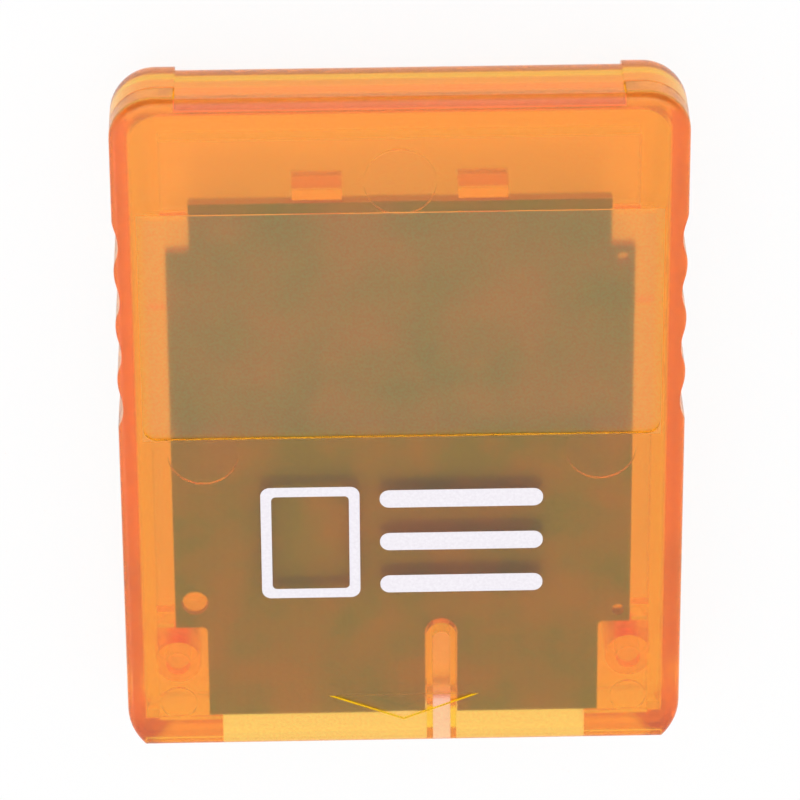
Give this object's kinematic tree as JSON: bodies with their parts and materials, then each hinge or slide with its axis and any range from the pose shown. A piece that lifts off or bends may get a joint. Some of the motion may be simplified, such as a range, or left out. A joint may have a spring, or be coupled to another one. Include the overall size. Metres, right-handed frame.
{
  "type": "console memory card",
  "caption": "Flat translucent plug-in memory card for a game console, with scalloped finger grips, a label recess, a keyed connector mouth and a contact board inside.",
  "frame": {"origin": "middle of the rear face, which the card lies on", "axes": "+Y is the way the card slides into the console, -Y is the grip end, +Z is the label side, X runs across"},
  "size_m": [0.042, 0.055, 0.008],
  "materials": {
    "shell": "moulded translucent orange plastic, satin outside from a fine spark-eroded mould",
    "board": "glass-fibre circuit board with green solder mask",
    "chip_package": "black moulded epoxy, fine matt texture",
    "tinned_lead": "tinned copper alloy leads",
    "contact_gold": "hard gold plating over nickel",
    "capacitor": "tan fired ceramic with tinned end caps",
    "resistor": "black glazed film on ceramic with tinned end caps"
  },
  "bodies": {
    "root": {"front_shell": "shell", "rear_shell": "shell", "circuit_board": "board", "flash_chip": "chip_package", "flash_leads": "tinned_lead", "controller_chip": "chip_package", "controller_leads": "tinned_lead", "contact_pad_1": "contact_gold", "contact_pad_2": "contact_gold", "contact_pad_3": "contact_gold", "contact_pad_4": "contact_gold", "contact_pad_5": "contact_gold", "contact_pad_6": "contact_gold", "contact_pad_7": "contact_gold", "contact_pad_8": "contact_gold", "capacitor_1": "capacitor", "capacitor_2": "capacitor", "capacitor_3": "capacitor", "capacitor_4": "capacitor", "capacitor_5": "capacitor", "resistor_1": "resistor", "resistor_2": "resistor", "resistor_3": "resistor", "resistor_4": "resistor"}
  },
  "joints": []
}
